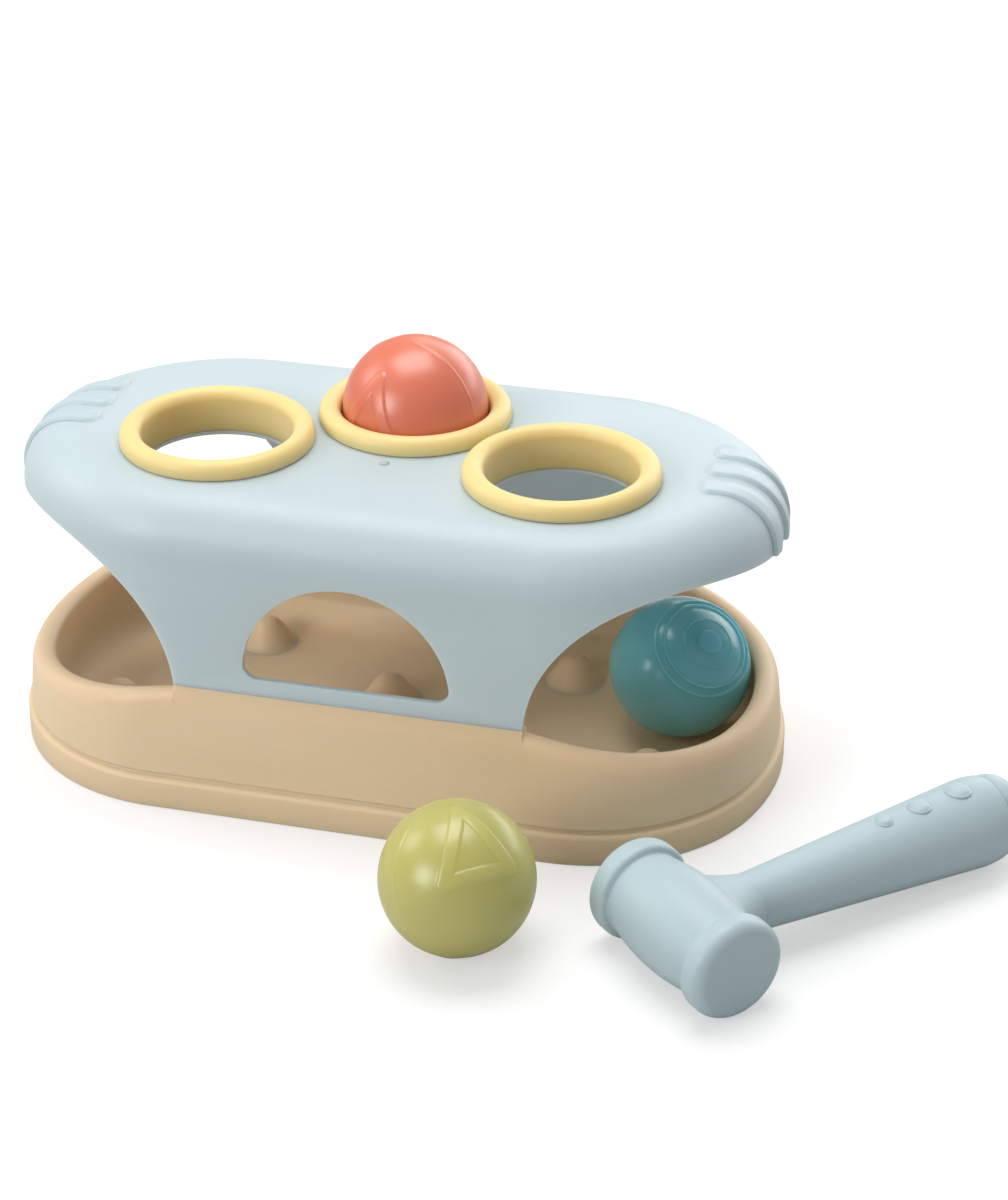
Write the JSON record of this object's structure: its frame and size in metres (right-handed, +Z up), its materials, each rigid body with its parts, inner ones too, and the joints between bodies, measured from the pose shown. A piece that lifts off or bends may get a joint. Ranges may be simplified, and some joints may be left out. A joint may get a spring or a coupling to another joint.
{
  "type": "pounding bench",
  "caption": "Moulded toddler pounding bench: arched top with soft ring holes over an open trough tray, hollow balls to strike through, and a barrel-headed hammer.",
  "frame": {"origin": "on the ground, in the middle of the tray's underside", "axes": "+X along the bench towards the end where the teal ball lies, -Y towards the side where the hammer lies, +Z up"},
  "size_m": [0.3524, 0.2215, 0.1387],
  "materials": {
    "beige_plastic": "satin moulded beige",
    "blue_plastic": "satin moulded pale blue",
    "yellow_rubber": "soft satin pale yellow",
    "coral_vinyl": "glossy coral vinyl",
    "teal_vinyl": "glossy teal vinyl",
    "olive_vinyl": "glossy olive green vinyl",
    "hammer_plastic": "satin moulded pale blue"
  },
  "bodies": {
    "bench": {"tray": "beige_plastic", "bench_top": "blue_plastic", "ring_left": "yellow_rubber", "ring_middle": "yellow_rubber", "ring_right": "yellow_rubber"},
    "coral_ball": {"ball_coral": "coral_vinyl"},
    "teal_ball": {"ball_teal": "teal_vinyl"},
    "green_ball": {"ball_green": "olive_vinyl"},
    "hammer": {"hammer_head": "hammer_plastic", "hammer_handle": "hammer_plastic", "hammer_end_cap": "hammer_plastic"}
  },
  "joints": [
    {"name": "coral_ball_drop", "type": "slide", "parent": "bench", "child": "coral_ball", "axis": [0, 0, 1], "range_m": [-0.076, 0.06]},
    {"name": "teal_ball_roll", "type": "slide", "parent": "bench", "child": "teal_ball", "axis": [-0.966, -0.2585, 0], "range_m": [0, 0.045]},
    {"name": "green_ball_roll", "type": "slide", "parent": "bench", "child": "green_ball", "axis": [-1, 0, 0], "range_m": [0, 0.12]},
    {"name": "hammer_lift", "type": "slide", "parent": "bench", "child": "hammer", "axis": [0, 0, 1], "range_m": [0, 0.2]}
  ]
}
